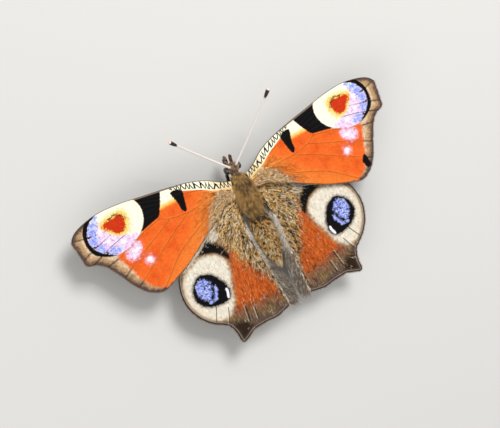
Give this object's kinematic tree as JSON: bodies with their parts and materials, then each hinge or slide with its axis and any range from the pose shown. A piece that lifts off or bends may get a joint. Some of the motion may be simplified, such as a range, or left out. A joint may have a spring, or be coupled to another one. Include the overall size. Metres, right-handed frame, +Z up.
{
  "type": "peacock butterfly",
  "caption": "Peacock butterfly, life size, standing on its legs with the eyespotted wings spread flat and the antennae raised; a still model.",
  "frame": {"origin": "middle of the footprint of the whole animal, on the floor it stands on", "axes": "+X towards the animal's left wing tip, -Y towards its head, +Z up, away from the floor"},
  "size_m": [0.0614, 0.038, 0.0137],
  "materials": {
    "wing_scales": "matt overlapping scales, rust red with cream, black, tan and blue markings",
    "body_hair": "soft golden-brown hair",
    "head_hair": "short dark brown hair",
    "eye": "faceted dark brown eye",
    "feeler": "pale ringed shaft, dark club with a pale tip",
    "leg": "brown scaled leg",
    "tongue": "dark brown coiled tongue"
  },
  "bodies": {
    "root": {"thorax": "body_hair", "abdomen": "body_hair", "head": "head_hair", "proboscis": "tongue", "eye_left": "eye", "eye_right": "eye", "palp_left": "head_hair", "palp_right": "head_hair", "antenna_left": "feeler", "antenna_right": "feeler", "forewing_left": "wing_scales", "forewing_right": "wing_scales", "hindwing_left": "wing_scales", "hindwing_right": "wing_scales", "mid_leg_coxa_left": "leg", "mid_leg_coxa_right": "leg", "mid_leg_femur_left": "leg", "mid_leg_femur_right": "leg", "mid_leg_tibia_left": "leg", "mid_leg_tibia_right": "leg", "mid_leg_tarsus_left": "leg", "mid_leg_tarsus_right": "leg", "hind_leg_coxa_left": "leg", "hind_leg_coxa_right": "leg", "hind_leg_femur_left": "leg", "hind_leg_femur_right": "leg", "hind_leg_tibia_left": "leg", "hind_leg_tibia_right": "leg", "hind_leg_tarsus_left": "leg", "hind_leg_tarsus_right": "leg", "foreleg_left": "leg", "foreleg_right": "leg"}
  },
  "joints": []
}
